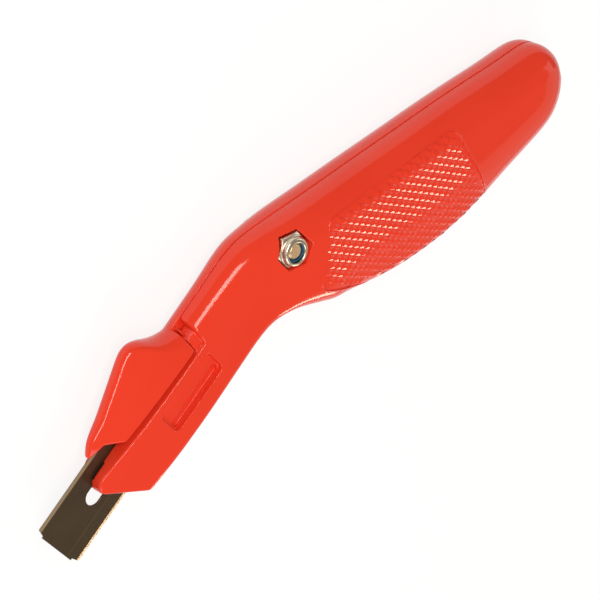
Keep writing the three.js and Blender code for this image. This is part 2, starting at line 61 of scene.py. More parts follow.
# The two castings: hollow aluminium halves, die cast, deburred and enamelled, that part along one
# plane. They are worked out here in millimetres about the pivot, with the parting plane at z = 0,
# X back to the tail and Y to the thumb side, and each is the solid inside one distance function.
washer_low, washer_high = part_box("thrust_washer")
pivot = np.array((washer_low + washer_high) / 2)
MM = 0.001
GRIP_ANGLE = math.radians(25.7)
NECK_TOP, JAW_BOTTOM, LIP_TOP = 12.25, -12.225, 5.3
LIP_FRONT, SHOULDER, NOSE_REAR = -85.0, 36.0, 39.4
FACE = 0.15
WALL = 2.4
HOLLOW_FRONT = -29.0
BOSS_RADIUS, BOSS_INSET = 9.5, 1.0
BORE_RADIUS = 2.715
WASHER_RECESS, WASHER_RECESS_DEPTH = 7.3, 0.5
BLADE_LOW, BLADE_HIGH, BLADE_REAR, BLADE_SEAT = -9.025, 10.025, -46.75, 0.42
BLADE_RISE = 0.5
POST_PLACES, POST_RADIUS, POST_RISE, POST_ROOT = (-64.35, -80.35), 2.35, 0.75, 0.3
SLIDE_FIT = 0.3
FAR_OUT = 9


def grip_point(along, height):
    """A point of the handle, from its distance behind the pivot and its height over the axis."""
    c, s = math.cos(GRIP_ANGLE), math.sin(GRIP_ANGLE)
    return along * c + height * s, height * c - along * s


def grip_place(x, y):
    """The opposite of grip_point: distance behind the pivot and height over the handle's axis."""
    c, s = math.cos(GRIP_ANGLE), math.sin(GRIP_ANGLE)
    return x * c - y * s, x * s + y * c


def fair_curve(points, count=1200):
    """A smooth curve through a few points of an edge, as many even samples."""
    p = np.array(points, float)
    t = np.concatenate([[0], np.cumsum(np.sqrt(np.hypot(*np.diff(p, axis=0).T)))])
    h = np.diff(t)
    system, load = np.eye(len(t)), np.zeros_like(p)
    for k in range(1, len(t) - 1):
        system[k, k - 1:k + 2] = h[k - 1], 2 * (h[k - 1] + h[k]), h[k]
        load[k] = 6 * ((p[k + 1] - p[k]) / h[k] - (p[k] - p[k - 1]) / h[k - 1])
    bend = np.linalg.solve(system, load)
    s = np.linspace(0, t[-1], count)
    k = np.clip(np.searchsorted(t, s, side="right") - 1, 0, len(h) - 1)
    u, v = ((t[k + 1] - s) / h[k])[:, None], ((s - t[k]) / h[k])[:, None]
    lift = ((u**3 - u) * bend[k] + (v**3 - v) * bend[k + 1]) * (h[k]**2)[:, None] / 6
    return u * p[k] + v * p[k + 1] + lift


TAIL_TIP, TAIL_TIP_HEIGHT = 112.6, -2.2
TAIL_TOP_ROUND, TAIL_SWEEP, TAIL_DEPTH, TAIL_RUN_ON = 9.85, 16.5, 17.0, 12
tail_turns = [math.radians(a) for a in (25, 45, 65, 80, 90)]
top_edge = fair_curve(
    [(-95, NECK_TOP), (-60, NECK_TOP), (-36, 12.45), (-22, 12.55), (-15, 12.65), (-9, 12.05),
     (-3.5, 10.25)]
    + [grip_point(a, h) for a, h in ((5, 7.9), (16, 7.9), (32, 8.05), (50, 8.1), (66, 8.2),
                                     (82, 7.95), (94, 7.68))]
    + [grip_point(TAIL_TIP + TAIL_TOP_ROUND * (math.sin(a) - 1),
                  TAIL_TIP_HEIGHT + TAIL_TOP_ROUND * math.cos(a)) for a in [0] + tail_turns]
    + [grip_point(TAIL_TIP, TAIL_TIP_HEIGHT - TAIL_RUN_ON)])
bottom_edge = fair_curve(
    [(-95, JAW_BOTTOM), (-60, JAW_BOTTOM), (-36, JAW_BOTTOM), (-22, JAW_BOTTOM), (-16.5, -13.325),
     (-11.5, -16.225), (-7.5, -20.025), (-1.5, -26.75)]
    + [grip_point(a, h) for a, h in ((16, -25.75), (32, -29.05), (50, -30), (66, -28.3), (82, -23.9),
                                     (94, -20.6))]
    + [grip_point(TAIL_TIP + TAIL_SWEEP * (math.sin(a) - 1),
                  TAIL_TIP_HEIGHT - TAIL_DEPTH * math.cos(a)) for a in tail_turns]
    + [grip_point(TAIL_TIP, TAIL_TIP_HEIGHT + TAIL_RUN_ON)])


class OutlineTable:
    """Distances in from one edge of the body's outline, on a grid that is read smoothly."""
    step = 0.5
    batch = 4000
    xs = np.arange(-98, 108, step)
    ys = np.arange(-68, 28, step)

    def __init__(self, edge, side):
        x, y = (a.ravel() for a in np.meshgrid(self.xs, self.ys, indexing="ij"))
        run = np.gradient(edge, axis=0)
        run /= np.hypot(*run.T)[:, None]
        depth = np.empty(len(x))
        for k in range(0, len(x), self.batch):
            part = slice(k, k + self.batch)
            dx = x[part, None] - edge[:, 0].astype(np.float32)
            dy = y[part, None] - edge[:, 1].astype(np.float32)
            near = np.argmin(dx * dx + dy * dy, axis=1)
            gap = np.stack([x, y], 1)[part] - edge[near]
            depth[part] = side * (gap[:, 0] * run[near, 1] - gap[:, 1] * run[near, 0])
        self.depth = depth.reshape(len(self.xs), len(self.ys))

    def __call__(self, x, y):
        x, y = np.broadcast_arrays((x - self.xs[0]) / self.step, (y - self.ys[0]) / self.step)
        i, j = np.floor(x).astype(int), np.floor(y).astype(int)
        weights = []
        for f in (x - i, y - j):
            weights.append((((2 - f) * f - 1) * f / 2, ((3 * f - 5) * f * f + 2) / 2,
                            ((4 - 3 * f) * f + 1) * f / 2, (f - 1) * f * f / 2))
        total = 0
        for a in range(4):
            row = np.clip(i + a - 1, 0, len(self.xs) - 1)
            for b in range(4):
                column = np.clip(j + b - 1, 0, len(self.ys) - 1)
                total = total + weights[0][a] * weights[1][b] * self.depth[row, column]
        return total


in_from_top = OutlineTable(top_edge, 1)
in_from_bottom = OutlineTable(bottom_edge, -1)


def eased(places, values, blur):
    """A size that changes along the body, eased between its given values."""
    step, margin = 0.25, 20
    at = np.arange(places[0] - margin, places[-1] + margin, step)
    count = round(3 * blur / step)
    spread = step * np.arange(-count, count + 1)
    weight = np.exp(-(spread / blur)**2 / 2)
    wider = np.concatenate([at[0] + spread[:count], at, at[-1] + spread[count + 1:]])
    raw = np.interp(wider, places, values)
    smooth = np.convolve(raw, weight / weight.sum(), mode="valid")
    return lambda x: np.interp(x, at, smooth)


body_places = (-89, -76.8, -68.7, -60.5, -48, -36, -22, -15.7, -10.3, -5.5, 3.5, 14, 27, 62, 78, 94)
BODY_BLUR = 3.0
body_half = eased(
    body_places, (4, 5.2, 6.16, 6.76, 7, 7, 7.3, 8, 8.9, 9.8, 10.9) + (11.1,) * 5, BODY_BLUR)
body_upper = eased(
    body_places, (3.9, 5.1, 6, 6.6, 6.9, 6.9, 7.1, 7.5, 8.3, 9, 9.1) + (9.4,) * 5, BODY_BLUR)
body_lower = eased(
    body_places, (1.8,) * 5 + (2.2, 2.8, 3.2, 3.8, 5, 8, 13, 18, 18, 14.5, 13), BODY_BLUR)
BELLY_ROUND = 6.8
SECTION_LEAN, SECTION_LEVEL = 0.16, -5


def joined(a, b, r):
    """Two solids as one, with a fillet in the corner between them."""
    return np.maximum(r, np.minimum(a, b)) - np.hypot(np.maximum(r - a, 0), np.maximum(r - b, 0))


def shared(a, b, r):
    """What two solids share, with a rounded edge where they cross."""
    return -joined(-a, -b, r)


def cut(a, b, r):
    """The first solid less the second, with a rounded edge round the cut."""
    return -joined(-a, b, r)


def rounded_edge(depth, over, inward, sideways):
    """Distance to an edge that rounds over as a quarter ellipse."""
    a, b = (inward - depth) / inward, (over + sideways) / sideways
    reach = np.maximum(np.hypot(a, b), 1e-6)
    fall = np.hypot(a / inward, b / sideways) / reach
    rounded = (reach - 1) / np.maximum(fall, 1e-6)
    return np.where((a > 0) & (b > 0), rounded, np.maximum(-depth, over))


def skin(x, y, z):
    """The closed body: its outline, its thickness and the rounding over its edges."""
    place = x - SECTION_LEAN * (y - SECTION_LEVEL)
    over = np.abs(z) - body_half(place)
    upper, lower = body_upper(place), body_lower(place)
    return np.maximum(rounded_edge(in_from_top(x, y), over, upper, upper),
                      rounded_edge(in_from_bottom(x, y), over, lower, np.minimum(lower, BELLY_ROUND)))


def box_outline(x, y, middle, length, width, r):
    """Distance to a rounded rectangle, seen from the side."""
    a = np.abs(x - middle[0]) - length / 2 + r
    b = np.abs(y - middle[1]) - width / 2 + r
    return np.hypot(np.maximum(a, 0), np.maximum(b, 0)) + np.minimum(np.maximum(a, b), 0) - r


PANEL_DEPTH, PANEL_RUNOUT_START, PANEL_RUNOUT = 0.4, 0.5, 4.5
PANEL_FRONT, PANEL_TOP, PANEL_TOP_RISE, PANEL_FRONT_WAY = 13.7, 2.3, 0.025, (0.915, 0.403)
PANEL_REAR, PANEL_REAR_TOP, PANEL_REAR_WAY = 64.6, 1.3, (0.953, 0.302)
PANEL_FOOT, PANEL_FOOT_DROP, PANEL_FOOT_WAY = 5.2, 17, (0.454, 0.892)
BEAD_PLACE, BEAD_SHARE, BEAD_REACH = 0.25, 0.45, 2


def panel_outline(x, y):
    """Distance to the edge of the checkered grip panel, seen from the side."""
    along, height = grip_place(x, y)
    top = height - PANEL_TOP - PANEL_TOP_RISE * (along - PANEL_FRONT)
    rear = (along - PANEL_REAR) * PANEL_REAR_WAY[0] + (height - PANEL_REAR_TOP) * PANEL_REAR_WAY[1]
    front = (PANEL_FRONT - along) * PANEL_FRONT_WAY[0] + (height - PANEL_TOP) * PANEL_FRONT_WAY[1]
    foot = (PANEL_FOOT - along) * PANEL_FOOT_WAY[0] - (height + PANEL_FOOT_DROP) * PANEL_FOOT_WAY[1]
    return shared(shared(shared(top, rear, 2), front, 1.5), foot, 3)


def panel_depth(x, y):
    """How deep the panel's floor lies: the dies part sideways, so it runs out over the belly."""
    share = np.clip((in_from_bottom(x, y) - PANEL_RUNOUT_START) / PANEL_RUNOUT, 0, 1)
    return PANEL_DEPTH * share * (2 - share)


def panel_sunk(shell, body, x, y):
    """Sinks the panel's floor into the skin and leaves a thin raised line round it."""
    edge = panel_outline(x, y)
    depth = panel_depth(x, y)
    floor = np.maximum(edge, -(body + depth))
    bead = np.hypot(edge - BEAD_PLACE, body) - BEAD_SHARE * depth
    return joined(cut(shell, floor, 0.15), np.where(body > -BEAD_REACH, bead, FAR_OUT), 0.15)


POCKET_PLACE, POCKET_SIZE, POCKET_CORNER, POCKET_FLOOR = (-48, -1.35), (22, 8.5), 1.6, 5.55
CHANNEL_PLACE, CHANNEL_SIZE, CHANNEL_CORNER, CHANNEL_FLOOR = (-48, -4.2), (20.4, 2.8), 1.25, 4.3
RAKE_LENGTH, RAKE_HEIGHT = 9.6, 13.9


def pocket(x, y, z):
    """The stepped pocket in each side of the jaw: a floor with a deeper channel along it."""
    out = np.abs(z)
    floor = box_outline(x, y, POCKET_PLACE, *POCKET_SIZE, POCKET_CORNER)
    floor = shared(floor, POCKET_FLOOR - out, 0.35)
    channel = box_outline(x, y, CHANNEL_PLACE, *CHANNEL_SIZE, CHANNEL_CORNER)
    channel = shared(channel, CHANNEL_FLOOR - out, 0.4)
    return joined(floor, channel, 0.4)


def rake(x, y):
    """The jaw's sloping front."""
    ahead = (LIP_FRONT + RAKE_LENGTH - x) * RAKE_HEIGHT + (JAW_BOTTOM - y) * RAKE_LENGTH
    return ahead / math.hypot(RAKE_HEIGHT, RAKE_LENGTH)


def hollow_half(body, x, y, into):
    """One half of the hollow body with its pivot boss; into is the depth behind the parting face."""
    half = shared(body, -into, 0.35)
    hollow = shared(body + WALL, HOLLOW_FRONT - x, 2)
    boss = np.maximum(np.maximum(np.hypot(x, y) - BOSS_RADIUS, body + BOSS_INSET), -into)
    return joined(cut(half, hollow, 0.4), boss, 0.8)


HEX_WAY = 0.866
LIP_ROUND = 3.4
STEP_RADIUS, STEP_HALF, STEP_LEVEL, STEP_HALF_HEIGHT, STEP_INSET = 36.6, 2.5, 6.9, 2.55, 1.2
NUT_RECESS_HALF, NUT_RECESS_FLOOR = 5.06, 4.4
AHEAD_OF_PIVOT = 1


def hexagon_reach(x, y):
    """How far out a point lies from the pivot, measured square to a hexagon's flats."""
    ways = np.broadcast_arrays(x, x / 2 + y * HEX_WAY, x / 2 - y * HEX_WAY)
    return np.abs(np.stack(ways)).max(0)


def right_casting(x, y, z):
    """The half with the jaw's lip, the shoulder, the swing step, the pocket and the nut's recess."""
    body = skin(x, y, z)
    r = np.hypot(x, y)
    shell = hollow_half(body, x, y, z - FACE)
    lip = shared(y - LIP_TOP, LIP_FRONT - x, LIP_ROUND)
    shell = shared(shell, joined(lip, r - SHOULDER, 0.6), 0.7)
    shell = shared(shell, rake(x, y), 0.8)
    step = np.maximum(body + STEP_INSET, np.abs(r - STEP_RADIUS) - STEP_HALF)
    step = np.maximum(step, np.maximum(np.abs(y - STEP_LEVEL) - STEP_HALF_HEIGHT, x + AHEAD_OF_PIVOT))
    shell = joined(shell, shared(step, FACE - z, 0.3), 0.3)
    shell = cut(shell, pocket(x, y, z), 0.35)
    shell = panel_sunk(shell, body, x, y)
    recess = np.maximum(hexagon_reach(x, y) - NUT_RECESS_HALF, NUT_RECESS_FLOOR - z)
    shell = cut(shell, recess, 0.35)
    room = np.maximum(z - BLADE_SEAT, BLADE_LOW - SLIDE_FIT - y)
    room = np.maximum(room, np.maximum(-BLADE_REAR - SLIDE_FIT - r, x + AHEAD_OF_PIVOT))
    shell = np.maximum(shell, -room)
    post_room = POST_RADIUS + SLIDE_FIT
    for place in POST_PLACES:
        groove = np.maximum(np.abs(r + place) - post_room, z - POST_RISE - SLIDE_FIT)
        groove = np.maximum(groove, np.maximum(BLADE_RISE - post_room - y, x))
        shell = cut(shell, groove, 0.2)
    shell = cut(shell, r - BORE_RADIUS, 0.2)
    return np.maximum(shell, -np.maximum(r - WASHER_RECESS, z - WASHER_RECESS_DEPTH))


NOSE_TIP, NOSE_HEEL, NOSE_BOTTOM, NOSE_FOOT = -79.6, -36.6, 6.6, 4.0
CHIN_HEIGHT, CHIN_PLACE, CHIN_WAY = 10.325, -70, (0.6635, 0.7481)
RIDGE_BLUR, FLANK_BLUR = 0.9, 1.2
nose_places = (NOSE_TIP, -78.19, -76.22, -73.73, -69.79, -61.83, -53.87, -51.46, -48.93, -46.43,
               -43.98, -41.49, -39.4, -36.59)
nose_ridge = eased(
    nose_places,
    (10.9, 12.5, 13.8, 14.7, 15.75, 18.93, 22.2, 22.8, 22.3, 20.2, 16.8, 14.35, 13.1, 11.4), RIDGE_BLUR)
nose_round = eased(
    nose_places, (0.8, 1.2, 1.7, 2, 2.4, 2.4, 2.4, 2.6, 3.1, 4.3, 5.4, 6.2, 6.5, 5.8), FLANK_BLUR)
nose_half = eased(
    nose_places, (0.9, 2, 3.1, 4.1, 5.2, 5.9, 6.4, 6.5, 6.6, 6.7, 6.75, 6.8, 6.85, 6.2), FLANK_BLUR)


def nose_form(x, y, z):
    """The raised nose: a round ridge over two flat flanks."""
    r, half = nose_round(x), nose_half(x)
    middle = nose_ridge(x) - r
    drop = NOSE_BOTTOM - middle
    fall = np.arctan2(drop, half) + np.arccos(np.minimum(1, r / np.hypot(half, drop)))
    out, up = np.abs(z), y - middle
    flank = out * np.cos(fall) + up * np.sin(fall) - r
    wedge = np.where(up * np.cos(fall) > out * np.sin(fall), np.hypot(out, up) - r, flank)
    wedge = np.maximum(np.maximum(wedge, out - half), NOSE_FOOT - y)
    return shared(np.maximum(wedge, x - NOSE_HEEL), NOSE_TIP - x, 0.8)


FAR_JAW_TOP, FAR_JAW_REAR, FAR_JAW_ROUND = 5.95, -45.4, 6
LUG_RADIUS, LUG_HALF, LUG_LOW, LUG_REACH = 37.7, 1.1, 9.75, 2.6
SPARE_PLACE, SPARE_DROP, SPARE_BED = 48, 10.2, -5.3
SPARE_POST_GAP, SPARE_POST_LEVEL, SPARE_POST_HALF = 10.975, -3.75, 2.55
RIB_HALF, RIB_INSET = 1.2, 0.8
HEAD_RECESS, HEAD_RECESS_FLOOR = 5.3, -6.5


def left_casting(x, y, z):
    """The half with the far jaw, the nose, its lug, the blade's slit and the posts for the blades."""
    body = skin(x, y, z)
    r = np.hypot(x, y)
    shell = hollow_half(body, x, y, -FACE - z)
    shell = shared(shell, rake(x, y), 0.8)
    shell = shared(shell, LIP_FRONT - x, 0.8)
    jaw = shared(y - FAR_JAW_TOP, LIP_FRONT - x, FAR_JAW_ROUND)
    shell = np.maximum(shell, np.minimum(jaw, FAR_JAW_REAR - x))
    nose = nose_form(x, y, z)
    ramp = (x - CHIN_PLACE) * CHIN_WAY[0] + (y - NOSE_BOTTOM) * CHIN_WAY[1]
    under = np.minimum(y - NOSE_BOTTOM, np.maximum(y - CHIN_HEIGHT, ramp))
    cleared = np.maximum(joined(under, r - NOSE_REAR, 0.5), -FACE - z)
    lug = np.maximum(nose, np.abs(r - LUG_RADIUS) - LUG_HALF)
    lug = np.maximum(lug, np.maximum(LUG_LOW - y, z - LUG_REACH))
    shell = joined(shell, cut(nose, cleared, 0.6), 0.6)
    shell = joined(shell, np.maximum(lug, x + AHEAD_OF_PIVOT), 0.2)
    shell = cut(shell, pocket(x, y, z) + np.maximum(z, 0) * FAR_OUT, 0.5)
    shell = panel_sunk(shell, np.where(z < 0, body, FAR_OUT), x, y)
    slit_half = (BLADE_HIGH - BLADE_LOW) / 2 + SLIDE_FIT
    slit = np.maximum(np.abs(y - BLADE_RISE) - slit_half, x - BLADE_REAR - SLIDE_FIT)
    shell = np.maximum(shell, -np.maximum(np.abs(z) - BLADE_SEAT, slit))
    for place in POST_PLACES:
        post = np.hypot(x - place, y - BLADE_RISE) - POST_RADIUS
        post = shared(post, np.abs(z + POST_ROOT) - POST_RISE - POST_ROOT, 0.3)
        shell = joined(shell, post, 0.15)
    along, height = grip_place(x, y)
    for place in (SPARE_PLACE - SPARE_POST_GAP, SPARE_PLACE + SPARE_POST_GAP):
        rib = np.maximum(np.maximum(np.abs(along - place) - RIB_HALF, z - SPARE_BED), body + RIB_INSET)
        post = np.hypot(along - place, height + SPARE_DROP) - POST_RADIUS
        post = shared(post, np.abs(z - SPARE_POST_LEVEL) - SPARE_POST_HALF, 0.3)
        shell = joined(joined(shell, rib, 0.5), post, 0.3)
    shell = cut(shell, np.maximum(r - HEAD_RECESS, z - HEAD_RECESS_FLOOR), 0.35)
    shell = cut(shell, r - BORE_RADIUS, 0.2)
    return np.maximum(shell, -np.maximum(r - WASHER_RECESS, -WASHER_RECESS_DEPTH - z))


def slope(shape, points, reach=0.04):
    """The way out of the surface at each point, not yet of unit length."""
    ways = []
    for axis in np.eye(3) * reach:
        ways.append((shape(*(points + axis).T) - shape(*(points - axis).T)) / (2 * reach))
    return np.stack(ways, 1)


def settled(shape, points, furthest):
    """Moves points onto the surface of a shape."""
    for _ in range(3):
        way = slope(shape, points)
        move = (shape(*points.T) / np.maximum((way * way).sum(1), 0.05))[:, None] * way
        points = points - np.clip(move, -furthest, furthest)
    return points


def surface(shape, low, high, pitch):
    """The surface of a shape inside a box, as points and four-sided faces that turn outwards."""
    axes = [np.arange(a - 1.5 * pitch, b + 2 * pitch, pitch) for a, b in zip(low, high)]
    field = shape(axes[0][:, None, None], axes[1][None, :, None], axes[2][None, None, :])
    solid = field < 0
    corners = [(i, j, k) for i in (0, 1) for j in (0, 1) for k in (0, 1)]
    size = np.array(solid.shape) - 1
    window = [tuple(slice(o, o + n) for o, n in zip(c, size)) for c in corners]
    filled = sum(solid[w].astype(np.uint8) for w in window)
    cell = np.argwhere((filled > 0) & (filled < 8))
    value = np.stack([field[tuple((cell + c).T)] for c in corners], 1)
    total, crossings = np.zeros((len(cell), 3)), np.zeros(len(cell))
    for a in range(8):
        for b in range(a + 1, 8):
            if np.abs(np.subtract(corners[a], corners[b])).sum() != 1:
                continue
            crossed = (value[:, a] < 0) != (value[:, b] < 0)
            share = np.where(crossed, value[:, a] / np.where(crossed, value[:, a] - value[:, b], 1), 0)
            point = np.array(corners[a]) + share[:, None] * np.subtract(corners[b], corners[a])
            total += np.where(crossed[:, None], point, 0)
            crossings += crossed
    start = np.array([a[0] for a in axes])
    points = start + (cell + total / crossings[:, None]) * pitch
    number = np.full(size, -1)
    number[tuple(cell.T)] = np.arange(len(cell))
    faces = []
    for axis in range(3):
        u, v = np.eye(3, dtype=int)[(axis + 1) % 3], np.eye(3, dtype=int)[(axis + 2) % 3]
        ahead = np.eye(3, dtype=int)[axis]
        here = tuple(slice(0, n) for n in size)
        there = tuple(slice(o, o + n) for o, n in zip(ahead, size))
        for goes_out in (True, False):
            leaves, enters = solid[here] & ~solid[there], ~solid[here] & solid[there]
            edge = np.argwhere(leaves if goes_out else enters)
            edge = edge[(edge[:, (axis + 1) % 3] > 0) & (edge[:, (axis + 2) % 3] > 0)]
            ring = [number[tuple((edge - o).T)] for o in (0 * u, u, u + v, v)]
            faces.append(np.stack(ring if goes_out else ring[::-1], 1))
    return settled(shape, points, pitch), np.concatenate(faces)


def piece_of(name, shape, low, high, pitch, finish, most=150000):
    """A finished piece from its shape: meshed, thinned where it is plain, and set in the frame."""
    points, faces = surface(shape, low, high, pitch)
    mesh = bpy.data.meshes.new(name)
    mesh.from_pydata(points.tolist(), [], faces.tolist())
    piece = bpy.data.objects.new(name, mesh)
    scene.collection.objects.link(piece)
    if 2 * len(faces) > most:
        thinner = piece.modifiers.new("thinner", "DECIMATE")
        thinner.ratio = most / (2 * len(faces))
        lean = bpy.data.meshes.new_from_object(piece.evaluated_get(bpy.context.evaluated_depsgraph_get()))
        piece.modifiers.remove(thinner)
        piece.data = lean
        lean.name = name
        bpy.data.meshes.remove(mesh)
        mesh = lean
        points = np.empty(len(mesh.vertices) * 3)
        mesh.vertices.foreach_get("co", points)
        points = settled(shape, points.reshape(-1, 3), pitch / 4)
    way = slope(shape, points)
    way /= np.maximum(np.linalg.norm(way, axis=1), 1e-6)[:, None]
    mesh.vertices.foreach_set("co", ((points * MM) + pivot).ravel())
    mesh.shade_smooth()
    mesh.normals_split_custom_set_from_vertices(way.tolist())
    mesh.update()
    mesh.materials.append(finish)
    return piece


class Wire:
    """A value in a material's nodes. Sums and products of wires add Math nodes."""

    def __init__(self, coat, socket):
        self.coat, self.socket = coat, socket

    def _with(self, operation, first, second):
        return self.coat.node("ShaderNodeMath", {"operation": operation}, {0: first, 1: second})

    def __add__(self, other):
        return self._with("ADD", self, other)

    __radd__ = __add__

    def __mul__(self, other):
        return self._with("MULTIPLY", self, other)

    __rmul__ = __mul__

    def __gt__(self, other):
        return self._with("GREATER_THAN", self, other)


class Coat:
    """A finish made of nodes, with one shader."""

    def __init__(self, name):
        self.material = bpy.data.materials.new(name)
        self.material.use_nodes = True
        self.tree = self.material.node_tree
        self.shader = self.tree.nodes["Principled BSDF"]

    def fill(self, node, inputs):
        for key, value in inputs.items():
            if isinstance(value, Wire):
                self.tree.links.new(value.socket, node.inputs[key])
            else:
                node.inputs[key].default_value = value

    def node(self, kind, settings=None, inputs=None, out=0):
        node = self.tree.nodes.new(kind)
        for key, value in (settings or {}).items():
            if key == "stops":
                for stop, (position, color) in zip(node.color_ramp.elements, value):
                    stop.position, stop.color = position, color
            else:
                setattr(node, key, value)
        self.fill(node, inputs or {})
        return Wire(self, node.outputs[out])

    def noise(self, scale, detail=2.0, stretch=(1, 1, 1)):
        place = self.node("ShaderNodeTexCoord", out="Object")
        place = self.node("ShaderNodeMapping", {}, {"Vector": place, "Scale": stretch})
        return self.node("ShaderNodeTexNoise", {}, {"Vector": place, "Scale": scale, "Detail": detail})

    def mixed(self, share, first, second):
        return self.node("ShaderNodeMix", {"data_type": "RGBA"}, {0: share, 6: first, 7: second}, 2)

    def bump(self, height, strength, distance):
        return self.node("ShaderNodeBump", {}, {"Height": height, "Strength": strength, "Distance": distance})


def red_enamel():
    """Baked gloss enamel: a touch uneven in colour and gloss, with a faint orange-peel surface."""
    coat = Coat("red_enamel")
    drift = coat.noise(45, 3)
    peel = coat.noise(700, 2)
    coat.fill(coat.shader, {
        "Base Color": coat.mixed(drift, (0.80, 0.041, 0.015, 1), (0.86, 0.051, 0.021, 1)),
        "Roughness": 0.08 + 0.06 * drift,
        "Normal": coat.bump(peel, 0.05, 0.0002),
        "IOR": 1.41,
    })
    return coat.material


enamel = red_enamel()
SHELL_PITCH = 0.33
right_half = piece_of(
    "right_casting", right_casting, (-86, -62, 0), (102, 13.5, 11.3), SHELL_PITCH, enamel)
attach(right_half, "right_half")
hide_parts("right_shell")
left_half = piece_of(
    "left_casting", left_casting, (-86, -62, -11.3), (102, 23.5, 7.2), SHELL_PITCH, enamel)
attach(left_half, "left_half")
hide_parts("left_shell")

# Checkering on the grip panels: flat-topped diamonds cast with each half, in a lattice that lies
# along the handle and runs over the belly. They stand on the panel's floor.
DIAMOND_LENGTH, DIAMOND_WIDTH, DIAMOND_HEIGHT, DIAMOND_TOP = 3.8, 2.7, 0.4, 0.27
DIAMOND_PLACE, DIAMOND_DROP, DIAMOND_SINK = 22.5, 11.5, 0.04
DIAMOND_FILL = 0.86
PANEL_MARGIN, BELLY_MARGIN = 0.9, 0.7
COLUMNS, ROWS = range(-16, 32), range(-20, 16)
OUT_OF_BODY, HALVINGS = 12.0, 30


def diamond_tree():
    """Nodes that stand a diamond on every point, turned and scaled by the point's own values."""
    tree = bpy.data.node_groups.new("checkering", "GeometryNodeTree")
    face = tree.interface
    face.new_socket("Points", in_out="INPUT", socket_type="NodeSocketGeometry")
    for name in ("Length", "Width", "Height", "Top Share"):
        face.new_socket(name, in_out="INPUT", socket_type="NodeSocketFloat")
    face.new_socket("Finish", in_out="INPUT", socket_type="NodeSocketMaterial")
    face.new_socket("Checkering", in_out="OUTPUT", socket_type="NodeSocketGeometry")

    def add(kind, settings=None, **links):
        node = tree.nodes.new(kind)
        for key, value in (settings or {}).items():
            setattr(node, key, value)
        for key, value in links.items():
            socket = node.inputs[key.replace("_", " ")]
            if isinstance(value, bpy.types.NodeSocket):
                tree.links.new(value, socket)
            else:
                socket.default_value = value
        return node

    given = add("NodeGroupInput").outputs
    cone = add("GeometryNodeMeshCone", {"fill_type": "NGON"}, Vertices=4, Radius_Top=given["Top Share"],
               Radius_Bottom=1.0, Depth=given["Height"])
    halves = [add("ShaderNodeMath", {"operation": "MULTIPLY"}) for _ in range(2)]
    for half, name in zip(halves, ("Length", "Width")):
        tree.links.new(given[name], half.inputs[0])
        half.inputs[1].default_value = 0.5
    spread = add("ShaderNodeCombineXYZ", X=halves[0].outputs[0], Y=halves[1].outputs[0], Z=1.0)
    diamond = add("GeometryNodeTransform", Geometry=cone.outputs["Mesh"], Scale=spread.outputs[0])
    ways = []
    for name in ("way_out", "way_along", "sizes"):
        way = add("GeometryNodeInputNamedAttribute", {"data_type": "FLOAT_VECTOR"}, Name=name)
        ways.append(way.outputs["Attribute"])
    stand = add("FunctionNodeAlignRotationToVector", {"axis": "Z"}, Vector=ways[0])
    lie = add("FunctionNodeAlignRotationToVector", {"axis": "X", "pivot_axis": "Z"}, Vector=ways[1],
              Rotation=stand.outputs[0])
    placed = add("GeometryNodeInstanceOnPoints", Points=given["Points"], Instance=diamond.outputs[0],
                 Rotation=lie.outputs[0], Scale=ways[2])
    real = add("GeometryNodeRealizeInstances", Geometry=placed.outputs[0])
    dressed = add("GeometryNodeSetMaterial", Geometry=real.outputs[0], Material=given["Finish"])
    tree.links.new(dressed.outputs[0], add("NodeGroupOutput").inputs["Checkering"])
    return tree


def checkering(name, side, body):
    """One panel's diamonds, on the half that lies on that side of the parting plane."""
    along, height = np.meshgrid(np.array(COLUMNS) * DIAMOND_LENGTH / 2 + DIAMOND_PLACE,
                                np.array(ROWS) * DIAMOND_WIDTH / 2 - DIAMOND_DROP, indexing="ij")
    lattice = (np.indices(along.shape).sum(0) % 2) == 0
    x, y = grip_point(along[lattice], height[lattice])
    keep = (panel_outline(x, y) < -PANEL_MARGIN) & (in_from_bottom(x, y) > BELLY_MARGIN)
    x, y = x[keep], y[keep]
    low, high = np.zeros(len(x)), np.full(len(x), OUT_OF_BODY)
    for _ in range(HALVINGS):
        z = (low + high) / 2
        outside = skin(x, y, z) + panel_depth(x, y) > 0
        low, high = np.where(outside, low, z), np.where(outside, z, high)
    points = np.stack([x, y, side * low], 1)
    way = slope(skin, points)
    way /= np.linalg.norm(way, axis=1)[:, None]
    points -= way * DIAMOND_SINK
    rise = panel_depth(x, y) / PANEL_DEPTH
    along_handle = np.array([math.cos(GRIP_ANGLE), -math.sin(GRIP_ANGLE), 0])
    mesh = bpy.data.meshes.new(name)
    mesh.from_pydata((points * MM + pivot).tolist(), [], [])
    sizes = np.stack([np.full(len(x), DIAMOND_FILL), np.full(len(x), DIAMOND_FILL), rise], 1)
    lies = np.tile(along_handle, (len(x), 1))
    for key, values in (("way_out", way), ("way_along", lies), ("sizes", sizes)):
        mesh.attributes.new(key, "FLOAT_VECTOR", "POINT").data.foreach_set("vector", values.ravel())
    piece = bpy.data.objects.new(name, mesh)
    scene.collection.objects.link(piece)
    pattern = piece.modifiers.new("checkering", "NODES")
    pattern.node_group = diamonds
    given = {"Length": DIAMOND_LENGTH * MM, "Width": DIAMOND_WIDTH * MM, "Height": DIAMOND_HEIGHT * MM,
             "Top Share": DIAMOND_TOP, "Finish": enamel}
    for item in diamonds.interface.items_tree:
        if item.in_out == "INPUT" and item.name in given:
            pattern[item.identifier] = given[item.name]
    plain = bpy.data.meshes.new_from_object(piece.evaluated_get(bpy.context.evaluated_depsgraph_get()))
    piece.modifiers.remove(pattern)
    piece.data = plain
    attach(piece, body)


diamonds = diamond_tree()
checkering("right_checkering", 1, "right_half")
checkering("left_checkering", -1, "left_half")

